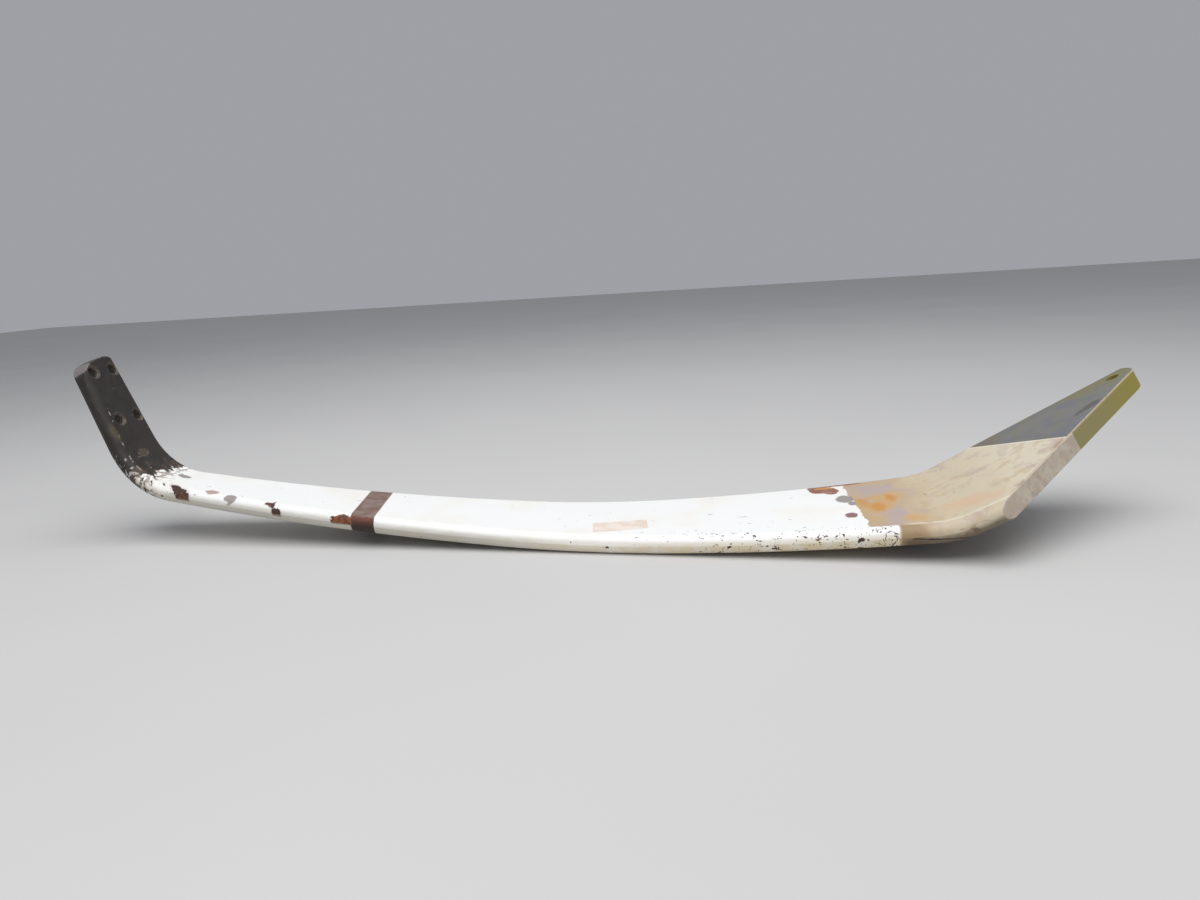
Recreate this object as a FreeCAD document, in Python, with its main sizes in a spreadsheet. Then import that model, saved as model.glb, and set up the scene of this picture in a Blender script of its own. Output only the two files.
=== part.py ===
import FreeCAD, Part
import math
import os

import Sketcher
from FreeCAD import Placement, Rotation, Vector

# Main gear leg of a light aircraft: one bar of flat spring steel, bent near both ends, lying on its
# convex side as it does off the aircraft. X runs along the leg, from the axle pad (-X) to the root
# that the fuselage clamps (+X). Y runs across it, Z is up and the floor is Z = 0. The origin is the
# centre of the bounding box's base.
doc = FreeCAD.newDocument("gear_leg")

# --- Driving dimensions, in millimetres and degrees -------------------------------------------------
sheet = doc.addObject("Spreadsheet::Sheet", "Sizes")
SIZES = {
    # The bar. Every bend radius is that of the layer halfway through its thickness.
    "thickness": 17.5,
    "edge_radius": 8.6,
    "blank_width": 220,
    # Where the leg touches the floor, measured from the origin.
    "contact_x": 47.1,
    "contact_y": 5.5,
    # Side view, from the contact towards the axle: shallow bow, axle bend, straight pad.
    "middle_radius": 1650,
    "middle_axle_angle": 3.38,
    "axle_bow_radius": 3850,
    "axle_bow_angle": 5.7,
    "axle_bend_radius": 78,
    "axle_bend_angle": 59.5,
    "pad_length": 102,
    "pad_blank": 108,
    # Side view, from the contact towards the root: shallow bow, root bend, straight root.
    "middle_root_angle": 1.72,
    "root_bow_radius": 3080,
    "root_bow_angle": 4.3,
    "root_bend_radius": 87,
    "root_bend_angle": 22.1,
    "root_blank": 205,
    # Plan view: each edge is two straight runs that meet in a slight knee. The near edge spreads
    # towards the root, the far edge only beyond its knee.
    "near_knee_x": -521.5,
    "near_knee_y": -7,
    "near_knee_radius": 380,
    "near_pad_angle": -14.5,
    "near_root_angle": -5.75,
    "far_knee_x": -34.5,
    "far_knee_y": 59.6,
    "far_knee_radius": 3500,
    "far_pad_angle": 0,
    "far_root_angle": 2.5,
    # Root: the near side is sawn off at a slant, down to a lug round the bolt.
    "root_bolt_reach": 179,
    "root_bolt_y": 64,
    "root_bolt_bore": 11.1,
    "lug_radius": 17.8,
    "slant_angle": 40,
    "edge_break": 0.7,
    # Axle pad: four bolt bores, countersunk on both faces, and an end sawn a little askew, both
    # across the pad and through its thickness.
    "axle_bore": 11.1,
    "countersink": 15.5,
    "bores_along": 55.6,
    "bores_across": 28.6,
    "bores_end_gap": 17.6,
    "bores_centre_y": 34.6,
    "pad_near_y": 5.7,
    "pad_far_y": 59.9,
    "pad_end_y": 48,
    "pad_end_angle": 12,
    "pad_end_lean": 8,
    "pad_near_radius": 24,
    "pad_far_radius": 14,
    # Tape stuck on the concave face.
    "tape_length": 52,
    "tape_width": 26.6,
    "tape_thickness": 0.3,
    "tape_angle": 9.6,
    "tape_x": 6.4,
    "tape_y": -27,
}
for row, (name, value) in enumerate(SIZES.items(), start=1):
    sheet.set(f"A{row}", name)
    sheet.set(f"B{row}", str(value))
    sheet.setAlias(f"B{row}", name)
doc.recompute()


def size(name):
    """The value of a driving dimension, read back from the sheet."""
    return float(sheet.get(name))


# --- Small helpers for sketches ---------------------------------------------------------------------
def of_sheet(formula):
    """An expression in which every driving dimension is read from the sheet."""
    words = [f"Sizes.{word}" if word in SIZES else word for word in formula.split(" ")]
    return " ".join(words)


def value_of(formula):
    """What a formula of the sheet's values comes to."""
    return float(sheet.evalExpression(of_sheet(formula)))


def add_body(label):
    """An empty body whose own origin is the leg's lowest point."""
    body = doc.addObject("PartDesign::Body", label)
    body.Label = label
    body.setExpression("Placement.Base.x", of_sheet("contact_x"))
    body.setExpression("Placement.Base.y", of_sheet("contact_y"))
    return body


def add_sketch(body, name, plane):
    """A sketch on one of the body's origin planes."""
    sketch = body.newObject("Sketcher::SketchObject", name)
    planes = [feature for feature in body.Origin.OriginFeatures if feature.Role == plane]
    sketch.AttachmentSupport = [(planes[0], "")]
    sketch.MapMode = "FlatFace"
    return sketch


def lean(sketch, slope, x_formula, z_formula):
    """Lay an XY sketch on a plane that climbs by slope along X, with its origin at X, Z."""
    tilt = Rotation(Vector(0, -1, 0), value_of(slope))
    sketch.AttachmentOffset = Placement(Vector(value_of(x_formula), 0, value_of(z_formula)), tilt)
    sketch.setExpression("AttachmentOffset.Base.x", of_sheet(x_formula))
    sketch.setExpression("AttachmentOffset.Base.z", of_sheet(z_formula))
    sketch.setExpression("AttachmentOffset.Rotation.Angle", f"( {of_sheet(slope)} ) * 1 deg")


def dimension(sketch, name, formula, kind, *where):
    """A named dimension on the sketch, driven by a formula of the sheet's values."""
    value = value_of(formula)
    unit = "mm"
    if kind == "Angle":
        value = math.radians(value)
        unit = "deg"
    index = sketch.addConstraint(Sketcher.Constraint(kind, *where, value))
    sketch.renameConstraint(index, name)
    sketch.setExpression(f"Constraints.{name}", f"({of_sheet(formula)}) * 1 {unit}")


def relate(sketch, kind, *where):
    """A constraint without a value, such as Coincident or Tangent."""
    return sketch.addConstraint(Sketcher.Constraint(kind, *where))


def add_line(sketch, start, end):
    return sketch.addGeometry(Part.LineSegment(Vector(*start, 0), Vector(*end, 0)), False)


def add_arc(sketch, centre, radius, start_angle, end_angle):
    """A counter-clockwise arc, with its angles in degrees."""
    circle = Part.Circle(Vector(*centre, 0), Vector(0, 0, 1), radius)
    arc = Part.ArcOfCircle(circle, math.radians(start_angle), math.radians(end_angle))
    return sketch.addGeometry(arc, False)


def add_mark(sketch, name, x_formula, y_formula):
    """A construction point at a dimensioned place, for other geometry to pass through."""
    place = Vector(value_of(x_formula), value_of(y_formula), 0)
    mark = sketch.addGeometry(Part.Point(place), True)
    dimension(sketch, f"{name}_x", x_formula, "DistanceX", -1, 1, mark, 1)
    dimension(sketch, f"{name}_y", y_formula, "DistanceY", -1, 1, mark, 1)
    return mark


def close_outline(sketch, first, last, corners):
    """Straight lines through the corners, from the last point of an outline back to its first.

    Each line lies along X or Y, so a corner shares one coordinate with the one before it.
    """
    geometry, point = last
    previous = sketch.getPoint(geometry, point)
    place = (previous.x, previous.y)
    end = sketch.getPoint(*first)
    lines = []
    for corner in corners + [(end.x, end.y)]:
        line = add_line(sketch, place, corner)
        relate(sketch, "Coincident", geometry, point, line, 1)
        upright = abs(corner[0] - place[0]) < abs(corner[1] - place[1])
        relate(sketch, "Vertical" if upright else "Horizontal", line)
        geometry, point, place = line, 2, corner
        lines.append(line)
    relate(sketch, "Coincident", geometry, point, *first)
    return lines


# --- Where the bends leave the bar's middle layer ---------------------------------------------------
def bends_of(side):
    """The bends of one side, from the contact outwards, as names in the sheet."""
    return [
        ("middle_radius", f"middle_{side}_angle"),
        (f"{side}_bow_radius", f"{side}_bow_angle"),
        (f"{side}_bend_radius", f"{side}_bend_angle"),
    ]


def after_bends(side):
    """Formulas for the slope, run and rise of the middle layer where a side's last bend ends."""
    slope = "0"
    run = []
    rise = []
    for radius, angle in bends_of(side):
        next_slope = f"{slope} + {angle}"
        run.append(f"{radius} * ( sin( ( {next_slope} ) * 1 deg ) - sin( ( {slope} ) * 1 deg ) )")
        rise.append(f"{radius} * ( cos( ( {slope} ) * 1 deg ) - cos( ( {next_slope} ) * 1 deg ) )")
        slope = next_slope
    return f"( {slope} )", "( " + " + ".join(run) + " )", "( " + " + ".join(rise) + " )"


AXLE_SLOPE, AXLE_RUN, AXLE_RISE = after_bends("axle")
ROOT_SLOPE, ROOT_RUN, ROOT_RISE = after_bends("root")
PAD_PLANE = (f"-1 * {AXLE_SLOPE}", f"-1 * {AXLE_RUN}", f"thickness / 2 + {AXLE_RISE}")
ROOT_PLANE = (ROOT_SLOPE, ROOT_RUN, f"thickness / 2 + {ROOT_RISE}")

# --- spring_leg: the bar itself ---------------------------------------------------------------------
leg = add_body("spring_leg")


def draw_face(sketch, side, offset, straight_length):
    """One face of the side view, from the contact out along its bends to the end of the bar.

    The face lies offset mm outside the middle layer, as the bends see it.
    """
    sign = 1 if side == "root" else -1
    slope = 0.0
    x = 0.0
    z = size("thickness") / 2 - offset
    arcs = []
    for radius_name, angle_name in bends_of(side):
        radius = size(radius_name) + offset
        turned = slope + size(angle_name)
        centre_x = x - radius * math.sin(math.radians(slope))
        centre_z = z + radius * math.cos(math.radians(slope))
        ends = (slope - 90, turned - 90) if sign > 0 else (-90 - turned, -90 - slope)
        arcs.append(add_arc(sketch, (sign * centre_x, centre_z), radius, *ends))
        x = centre_x + radius * math.sin(math.radians(turned))
        z = centre_z - radius * math.cos(math.radians(turned))
        slope = turned
    end_x = x + straight_length * math.cos(math.radians(slope))
    end_z = z + straight_length * math.sin(math.radians(slope))
    straight = add_line(sketch, (sign * x, z), (sign * end_x, end_z))
    return arcs, straight


def draw_side(sketch, side, length_name):
    """Both faces of one side of the side view, and the end that joins them."""
    half = size("thickness") / 2
    below, below_straight = draw_face(sketch, side, half, size(length_name))
    above, above_straight = draw_face(sketch, side, -half, size(length_name))
    inner, outer = (1, 2) if side == "root" else (2, 1)
    relate(sketch, "Coincident", below[0], inner, -1, 1)
    relate(sketch, "PointOnObject", below[0], 3, -2)
    for index, (radius, angle) in enumerate(bends_of(side)):
        name = f"{side}_{index}"
        dimension(sketch, f"radius_{name}", f"{radius} + thickness / 2", "Radius", below[index])
        dimension(sketch, f"span_{name}", angle, "Angle", below[index])
        dimension(sketch, f"span_above_{name}", angle, "Angle", above[index])
        relate(sketch, "Coincident", below[index], 3, above[index], 3)
    for index in (1, 2):
        relate(sketch, "Tangent", below[index - 1], outer, below[index], inner)
        relate(sketch, "Coincident", above[index - 1], outer, above[index], inner)
    relate(sketch, "Tangent", below[2], outer, below_straight, 1)
    relate(sketch, "Coincident", above[2], outer, above_straight, 1)
    relate(sketch, "Parallel", below_straight, above_straight)
    dimension(sketch, f"{side}_straight", length_name, "Distance", below_straight)
    below_end = sketch.getPoint(below_straight, 2)
    above_end = sketch.getPoint(above_straight, 2)
    end = add_line(sketch, (below_end.x, below_end.y), (above_end.x, above_end.y))
    relate(sketch, "Coincident", below_straight, 2, end, 1)
    relate(sketch, "Coincident", above_straight, 2, end, 2)
    relate(sketch, "Perpendicular", below_straight, end)
    return above[0], inner


side_view = add_sketch(leg, "side_view", "XZ_Plane")
axle_top = draw_side(side_view, "axle", "pad_blank")
root_top = draw_side(side_view, "root", "root_blank")
relate(side_view, "Coincident", *axle_top, *root_top)
relate(side_view, "PointOnObject", *root_top, -2)
dimension(side_view, "bar_thickness", "thickness", "DistanceY", -1, 1, *root_top)

bent_bar = leg.newObject("PartDesign::Pad", "bent_bar")
bent_bar.Profile = side_view
bent_bar.SideType = "Symmetric"
bent_bar.setExpression("Length", of_sheet("blank_width"))
doc.recompute()


def cut_through(body, name, sketch):
    """A pocket that takes everything inside the sketch's outline away, above it and below it."""
    before = body.Shape.Volume
    pocket = body.newObject("PartDesign::Pocket", name)
    pocket.Profile = sketch
    pocket.Type = "ThroughAll"
    pocket.SideType = "Symmetric"
    doc.recompute()
    print(f"{name}: removed {(before - body.Shape.Volume) / 1000:.1f} cm3")
    if body.Shape.Volume >= before:
        raise RuntimeError(f"{name} cuts nothing")


# How far the outlines that are cut away reach beyond the bar.
BEYOND_PAD_X = -640
BEYOND_ROOT_X = 520
BEYOND_NEAR_Y = -150
BEYOND_FAR_Y = 150


def trim_edge(edge, outer_y):
    """Saw one long edge to its two straight runs, in plan, and the knee between them."""
    sketch = add_sketch(leg, f"{edge}_edge_plan", "XY_Plane")
    knee_x = size(f"{edge}_knee_x")
    knee_y = size(f"{edge}_knee_y")
    radius = size(f"{edge}_knee_radius")
    pad_angle = math.radians(size(f"{edge}_pad_angle"))
    root_angle = math.radians(size(f"{edge}_root_angle"))
    reach = radius * math.tan((root_angle - pad_angle) / 2)
    pad_x = knee_x - reach * math.cos(pad_angle)
    pad_y = knee_y - reach * math.sin(pad_angle)
    root_x = knee_x + reach * math.cos(root_angle)
    root_y = knee_y + reach * math.sin(root_angle)
    centre = (pad_x - radius * math.sin(pad_angle), pad_y + radius * math.cos(pad_angle))
    pad_start_y = pad_y - (pad_x - BEYOND_PAD_X) * math.tan(pad_angle)
    pad_run = add_line(sketch, (BEYOND_PAD_X, pad_start_y), (pad_x, pad_y))
    start_angle = math.degrees(pad_angle) - 90
    end_angle = math.degrees(root_angle) - 90
    knee = add_arc(sketch, centre, radius, start_angle, end_angle)
    root_end_y = root_y + (BEYOND_ROOT_X - root_x) * math.tan(root_angle)
    root_run = add_line(sketch, (root_x, root_y), (BEYOND_ROOT_X, root_end_y))
    relate(sketch, "Tangent", pad_run, 2, knee, 1)
    relate(sketch, "Tangent", knee, 2, root_run, 1)
    mark = add_mark(sketch, "knee", f"{edge}_knee_x", f"{edge}_knee_y")
    relate(sketch, "PointOnObject", mark, 1, pad_run)
    relate(sketch, "PointOnObject", mark, 1, root_run)
    dimension(sketch, "knee_radius", f"{edge}_knee_radius", "Radius", knee)
    dimension(sketch, "pad_angle", f"{edge}_pad_angle", "Angle", pad_run)
    dimension(sketch, "root_angle", f"{edge}_root_angle", "Angle", root_run)
    dimension(sketch, "beyond_pad", str(BEYOND_PAD_X), "DistanceX", -1, 1, pad_run, 1)
    dimension(sketch, "beyond_root", str(BEYOND_ROOT_X), "DistanceX", -1, 1, root_run, 2)
    corners = [(BEYOND_ROOT_X, outer_y), (BEYOND_PAD_X, outer_y)]
    lines = close_outline(sketch, (pad_run, 1), (root_run, 2), corners)
    dimension(sketch, "outer_y", str(outer_y), "DistanceY", -1, 1, lines[0], 2)
    cut_through(leg, f"{edge}_edge", sketch)


trim_edge("near", BEYOND_NEAR_Y)
trim_edge("far", BEYOND_FAR_Y)

# The long edges are rounded almost to a half circle, along every bend and knee.
def end_edges(shape):
    """The edges of the bar's two sawn ends."""
    ends = []
    for face in shape.Faces:
        flat = face.Surface.TypeId == "Part::GeomPlane"
        small = face.Area < size("blank_width") * size("thickness")
        if flat and small and abs(face.normalAt(0, 0).y) < 0.1:
            ends.extend(face.Edges)
    return ends


def long_edges(shape):
    """Names of the edges that run along the bar."""
    ends = end_edges(shape)
    names = []
    for number, edge in enumerate(shape.Edges, start=1):
        middle = (edge.FirstParameter + edge.LastParameter) / 2
        along = edge.tangentAt(middle)
        across_bar = abs(along.y) > 0.5 or abs(along.z) > 0.99
        if not across_bar and not any(edge.isSame(end) for end in ends):
            names.append(f"Edge{number}")
    return names


sawn_bar = leg.Tip
rounding = leg.newObject("PartDesign::Fillet", "rounded_long_edges")
rounding.Base = (sawn_bar, long_edges(sawn_bar.Shape))
rounding.setExpression("Radius", of_sheet("edge_radius"))
doc.recompute()
print(f"rounded_long_edges: {len(rounding.Base[1])} edges, {leg.Shape.Volume / 1000:.1f} cm3")

# Root: cut off on the slant, as far as a round lug around the root bolt.
root_cut_plan = add_sketch(leg, "root_cut_plan", "XY_Plane")
lean(root_cut_plan, *ROOT_PLANE)
reach = size("root_bolt_reach")
lug_y = size("root_bolt_y")
lug = size("lug_radius")
slant = math.radians(size("slant_angle"))
touch = (reach + lug * math.sin(slant), lug_y - lug * math.cos(slant))
BEYOND_LUG_X = 260
clear_x = touch[0] - (touch[1] - BEYOND_NEAR_Y) / math.tan(slant)
slant_cut = add_line(root_cut_plan, (clear_x, BEYOND_NEAR_Y), touch)
lug_round = add_arc(root_cut_plan, (reach, lug_y), lug, math.degrees(slant) - 90, 90)
relate(root_cut_plan, "Tangent", slant_cut, 2, lug_round, 1)
dimension(root_cut_plan, "lug_radius", "lug_radius", "Radius", lug_round)
dimension(root_cut_plan, "bolt_x", "root_bolt_reach", "DistanceX", -1, 1, lug_round, 3)
dimension(root_cut_plan, "bolt_y", "root_bolt_y", "DistanceY", -1, 1, lug_round, 3)
dimension(root_cut_plan, "slant_angle", "slant_angle", "Angle", slant_cut)
dimension(root_cut_plan, "clear_y", str(BEYOND_NEAR_Y), "DistanceY", -1, 1, slant_cut, 1)
relate(root_cut_plan, "Vertical", lug_round, 2, lug_round, 3)
lug_end = root_cut_plan.getPoint(lug_round, 2)
outside = [
    (lug_end.x, BEYOND_FAR_Y),
    (BEYOND_LUG_X, BEYOND_FAR_Y),
    (BEYOND_LUG_X, BEYOND_NEAR_Y),
]
outside_lines = close_outline(root_cut_plan, (slant_cut, 1), (lug_round, 2), outside)
dimension(root_cut_plan, "outside_y", str(BEYOND_FAR_Y), "DistanceY", -1, 1, outside_lines[0], 2)
dimension(root_cut_plan, "outside_x", str(BEYOND_LUG_X), "DistanceX", -1, 1, outside_lines[1], 2)
cut_through(leg, "slanted_root", root_cut_plan)

# Axle pad: the end is sawn askew, with both corners rounded, and leans so that the upper face is
# the shorter one. The sketch lies square to the saw's way through the bar.
PAD_END_X = "-1 * pad_length * cos( pad_end_lean * 1 deg )"
pad_end_plan = add_sketch(leg, "pad_end_plan", "XY_Plane")
lean(pad_end_plan, f"{PAD_PLANE[0]} - pad_end_lean", *PAD_PLANE[1:])
far_corner = size("pad_far_radius")
near_corner = size("pad_near_radius")
askew = math.radians(size("pad_end_angle"))
far_centre_y = size("pad_far_y") - far_corner
near_centre_y = size("pad_near_y") + near_corner


def end_x(y):
    """Where the pad's end line is, at this distance across."""
    return value_of(PAD_END_X) + (size("pad_end_y") - y) * math.tan(askew)


far_touch_y = far_centre_y - far_corner * math.sin(askew)
near_touch_y = near_centre_y - near_corner * math.sin(askew)
far_centre = (end_x(far_touch_y) + far_corner * math.cos(askew), far_centre_y)
near_centre = (end_x(near_touch_y) + near_corner * math.cos(askew), near_centre_y)
near_end = (end_x(near_touch_y), near_touch_y)
end_line = add_line(pad_end_plan, near_end, (end_x(far_touch_y), far_touch_y))
far_round = add_arc(pad_end_plan, far_centre, far_corner, 90, 180 + size("pad_end_angle"))
near_round = add_arc(pad_end_plan, near_centre, near_corner, 180 + size("pad_end_angle"), 270)
relate(pad_end_plan, "Tangent", end_line, 2, far_round, 2)
relate(pad_end_plan, "Tangent", near_round, 1, end_line, 1)
relate(pad_end_plan, "Vertical", far_round, 1, far_round, 3)
relate(pad_end_plan, "Vertical", near_round, 2, near_round, 3)
end_mark = add_mark(pad_end_plan, "end", PAD_END_X, "pad_end_y")
relate(pad_end_plan, "PointOnObject", end_mark, 1, end_line)
dimension(pad_end_plan, "end_angle", "90 + pad_end_angle", "Angle", end_line)
dimension(pad_end_plan, "far_corner", "pad_far_radius", "Radius", far_round)
dimension(pad_end_plan, "near_corner", "pad_near_radius", "Radius", near_round)
dimension(pad_end_plan, "far_y", "pad_far_y", "DistanceY", -1, 1, far_round, 1)
dimension(pad_end_plan, "near_y", "pad_near_y", "DistanceY", -1, 1, near_round, 2)
near_start = pad_end_plan.getPoint(near_round, 2)
far_start = pad_end_plan.getPoint(far_round, 1)
BEYOND_END_X = -140
outside = [
    (near_start.x, BEYOND_NEAR_Y),
    (BEYOND_END_X, BEYOND_NEAR_Y),
    (BEYOND_END_X, BEYOND_FAR_Y),
    (far_start.x, BEYOND_FAR_Y),
]
outside_lines = close_outline(pad_end_plan, (far_round, 1), (near_round, 2), outside)
dimension(pad_end_plan, "outside_near", str(BEYOND_NEAR_Y), "DistanceY", -1, 1, outside_lines[0], 2)
dimension(pad_end_plan, "outside_end", str(BEYOND_END_X), "DistanceX", -1, 1, outside_lines[1], 2)
dimension(pad_end_plan, "outside_far", str(BEYOND_FAR_Y), "DistanceY", -1, 1, outside_lines[2], 2)
cut_through(leg, "askew_pad_end", pad_end_plan)


# --- The bolt holes ---------------------------------------------------------------------------------
def face_plane(slope, x_formula, z_formula, side):
    """The plane that a mid-layer plane becomes on the upper (side 1) or lower (side -1) face."""
    return (
        slope,
        f"{x_formula} - {side} * thickness / 2 * sin( ( {slope} ) * 1 deg )",
        f"{z_formula} + {side} * thickness / 2 * cos( ( {slope} ) * 1 deg )",
    )


def bore_holes(name, plane, side, places, bore, countersink=None):
    """Bolt holes straight through the bar from one face, countersunk there if a size is given."""
    sketch = add_sketch(leg, f"{name}_plan", "XY_Plane")
    lean(sketch, *face_plane(*plane, side))
    for number, (x_formula, y_formula) in enumerate(places):
        centre = Vector(value_of(x_formula), value_of(y_formula), 0)
        circle = sketch.addGeometry(Part.Circle(centre, Vector(0, 0, 1), size(bore) / 2), False)
        dimension(sketch, f"bore_{number}", f"{bore} / 2", "Radius", circle)
        dimension(sketch, f"x_{number}", x_formula, "DistanceX", -1, 1, circle, 3)
        dimension(sketch, f"y_{number}", y_formula, "DistanceY", -1, 1, circle, 3)
    before = leg.Shape.Volume
    hole = leg.newObject("PartDesign::Hole", name)
    hole.Profile = sketch
    doc.recompute()
    hole.Threaded = False
    hole.Reversed = side < 0
    hole.DepthType = "ThroughAll"
    hole.setExpression("Diameter", of_sheet(bore))
    if countersink:
        hole.HoleCutType = "Countersink"
        hole.HoleCutCustomValues = True
        hole.HoleCutCountersinkAngle = 90
        hole.setExpression("HoleCutDiameter", of_sheet(countersink))
    doc.recompute()
    print(f"{name}: removed {(before - leg.Shape.Volume) / 1000:.2f} cm3")
    if leg.Shape.Volume >= before:
        raise RuntimeError(f"{name} cuts nothing")


AXLE_BORES = [
    (f"bores_end_gap {along} - pad_length", f"bores_centre_y {across} bores_across / 2")
    for along in ("", "+ bores_along")
    for across in ("-", "+")
]
bore_holes("axle_bores", PAD_PLANE, 1, AXLE_BORES, "axle_bore", "countersink")
bore_holes("axle_bores_back", PAD_PLANE, -1, AXLE_BORES, "axle_bore", "countersink")
bore_holes("root_bolt_hole", ROOT_PLANE, 1, [("root_bolt_reach", "root_bolt_y")], "root_bolt_bore")


# The slanted cut, the lug and the pad's sawn end have their sharp rims taken off.
def sawn_rims(shape):
    """Names of the edges where a sawn end meets the bar's flat faces."""
    names = []
    for number, edge in enumerate(shape.Edges, start=1):
        beside = shape.ancestorsOfType(edge, Part.Face)
        flats = [face for face in beside if is_flat_side(face)]
        if flats and any(is_sawn(face, flats[0]) for face in beside):
            names.append(f"Edge{number}")
    return names


def bar_normal(slope, side):
    """The way a straight end of the bar faces, above (side 1) or below (side -1)."""
    angle = math.radians(value_of(slope))
    return Vector(-side * math.sin(angle), 0, side * math.cos(angle))


FLAT_NORMALS = [bar_normal(slope, side) for slope in (PAD_PLANE[0], ROOT_SLOPE) for side in (1, -1)]


def is_flat_side(face):
    """Whether this is one of the four flat faces at the bar's straight ends."""
    if face.Surface.TypeId != "Part::GeomPlane":
        return False
    normal = face.normalAt(0, 0)
    return any(normal.getAngle(way) < 0.001 for way in FLAT_NORMALS)


# The least area of a sawn face, in mm2. A rounded long edge keeps a strip that is smaller.
SAWN_AREA = 150


def is_sawn(face, flat):
    """Whether this face beside a flat one is part of the slanted cut, the lug or the pad's end."""
    if face.Surface.TypeId not in ("Part::GeomPlane", "Part::GeomCylinder"):
        return False
    u_low, u_high, v_low, v_high = face.ParameterRange
    normal = face.normalAt((u_low + u_high) / 2, (v_low + v_high) / 2)
    lean_limit = math.sin(math.radians(size("pad_end_lean") + 1))
    square = abs(normal.dot(flat.normalAt(0, 0))) < lean_limit
    return square and face.Area > SAWN_AREA


unbroken = leg.Tip
rim_names = sawn_rims(unbroken.Shape)
broken_rims = leg.newObject("PartDesign::Chamfer", "broken_rims")
broken_rims.Base = (unbroken, rim_names)
broken_rims.setExpression("Size", of_sheet("edge_break"))
doc.recompute()
print(f"broken_rims: {len(rim_names)} edges, {leg.Shape.Volume / 1000:.1f} cm3")

# --- tape_strip: a blank strip stuck on the upper face ----------------------------------------------
tape = add_body("tape_strip")
tape_side_view = add_sketch(tape, "tape_side_view", "XZ_Plane")
under_radius = size("middle_radius") - size("thickness") / 2
over_radius = under_radius - size("tape_thickness")
centre_z = size("thickness") / 2 + size("middle_radius")
SHEET_HALF_SPAN = 1.4
sheet_span = (-90 - SHEET_HALF_SPAN, -90 + SHEET_HALF_SPAN)
under = add_arc(tape_side_view, (0, centre_z), under_radius, *sheet_span)
over = add_arc(tape_side_view, (0, centre_z), over_radius, *sheet_span)
relate(tape_side_view, "PointOnObject", under, 3, -2)
relate(tape_side_view, "Coincident", under, 3, over, 3)
relate(tape_side_view, "Symmetric", under, 1, under, 2, -2)
relate(tape_side_view, "Symmetric", over, 1, over, 2, -2)
FACE_RADIUS = "middle_radius - thickness / 2"
dimension(tape_side_view, "centre_z", "thickness / 2 + middle_radius", "DistanceY", -1, 1, under, 3)
dimension(tape_side_view, "face_radius", FACE_RADIUS, "Radius", under)
dimension(tape_side_view, "top_radius", f"{FACE_RADIUS} - tape_thickness", "Radius", over)
dimension(tape_side_view, "face_span", str(2 * SHEET_HALF_SPAN), "Angle", under)
dimension(tape_side_view, "top_span", str(2 * SHEET_HALF_SPAN), "Angle", over)
for point in (1, 2):
    low = tape_side_view.getPoint(under, point)
    high = tape_side_view.getPoint(over, point)
    side_line = add_line(tape_side_view, (low.x, low.y), (high.x, high.y))
    relate(tape_side_view, "Coincident", side_line, 1, under, point)
    relate(tape_side_view, "Coincident", side_line, 2, over, point)
tape_sheet = tape.newObject("PartDesign::Pad", "tape_sheet")
tape_sheet.Profile = tape_side_view
tape_sheet.SideType = "Symmetric"
tape_sheet.setExpression("Length", of_sheet("blank_width"))
doc.recompute()

tape_plan = add_sketch(tape, "tape_plan", "XY_Plane")
turned = math.radians(size("tape_angle"))
along = Vector(math.cos(turned), math.sin(turned), 0) * (size("tape_length") / 2)
across = Vector(-math.sin(turned), math.cos(turned), 0) * (size("tape_width") / 2)
middle = Vector(size("tape_x"), size("tape_y"), 0)
near_side = [middle - along - across, middle + along - across]
far_side = [middle + along + across, middle - along + across]


def add_loop(sketch, corners):
    """Straight lines round the corners and back to the first, joined where they meet."""
    lines = []
    for start, end in zip(corners, corners[1:] + corners[:1]):
        lines.append(add_line(sketch, (start.x, start.y), (end.x, end.y)))
    for first, second in zip(lines, lines[1:] + lines[:1]):
        relate(sketch, "Coincident", first, 2, second, 1)
    return lines


edges = add_loop(tape_plan, near_side + far_side)
relate(tape_plan, "Parallel", edges[0], edges[2])
relate(tape_plan, "Parallel", edges[1], edges[3])
relate(tape_plan, "Perpendicular", edges[0], edges[1])
tape_mark = add_mark(tape_plan, "middle", "tape_x", "tape_y")
relate(tape_plan, "Symmetric", edges[0], 1, edges[1], 2, tape_mark, 1)
dimension(tape_plan, "tape_length", "tape_length", "Distance", edges[0])
dimension(tape_plan, "tape_width", "tape_width", "Distance", edges[1])
dimension(tape_plan, "tape_angle", "tape_angle", "Angle", edges[0])
# Everything between the strip and a frame wider than the sheet is trimmed off.
BEYOND_SHEET_X = 80
frame = [
    Vector(-BEYOND_SHEET_X, BEYOND_NEAR_Y, 0),
    Vector(BEYOND_SHEET_X, BEYOND_NEAR_Y, 0),
    Vector(BEYOND_SHEET_X, BEYOND_FAR_Y, 0),
    Vector(-BEYOND_SHEET_X, BEYOND_FAR_Y, 0),
]
rims = add_loop(tape_plan, frame)
for rim, kind in zip(rims, ("Horizontal", "Vertical", "Horizontal", "Vertical")):
    relate(tape_plan, kind, rim)
dimension(tape_plan, "frame_low_x", str(-BEYOND_SHEET_X), "DistanceX", -1, 1, rims[0], 1)
dimension(tape_plan, "frame_low_y", str(BEYOND_NEAR_Y), "DistanceY", -1, 1, rims[0], 1)
dimension(tape_plan, "frame_high_x", str(BEYOND_SHEET_X), "DistanceX", -1, 1, rims[2], 1)
dimension(tape_plan, "frame_high_y", str(BEYOND_FAR_Y), "DistanceY", -1, 1, rims[2], 1)
cut_through(tape, "tape_trim", tape_plan)

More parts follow.
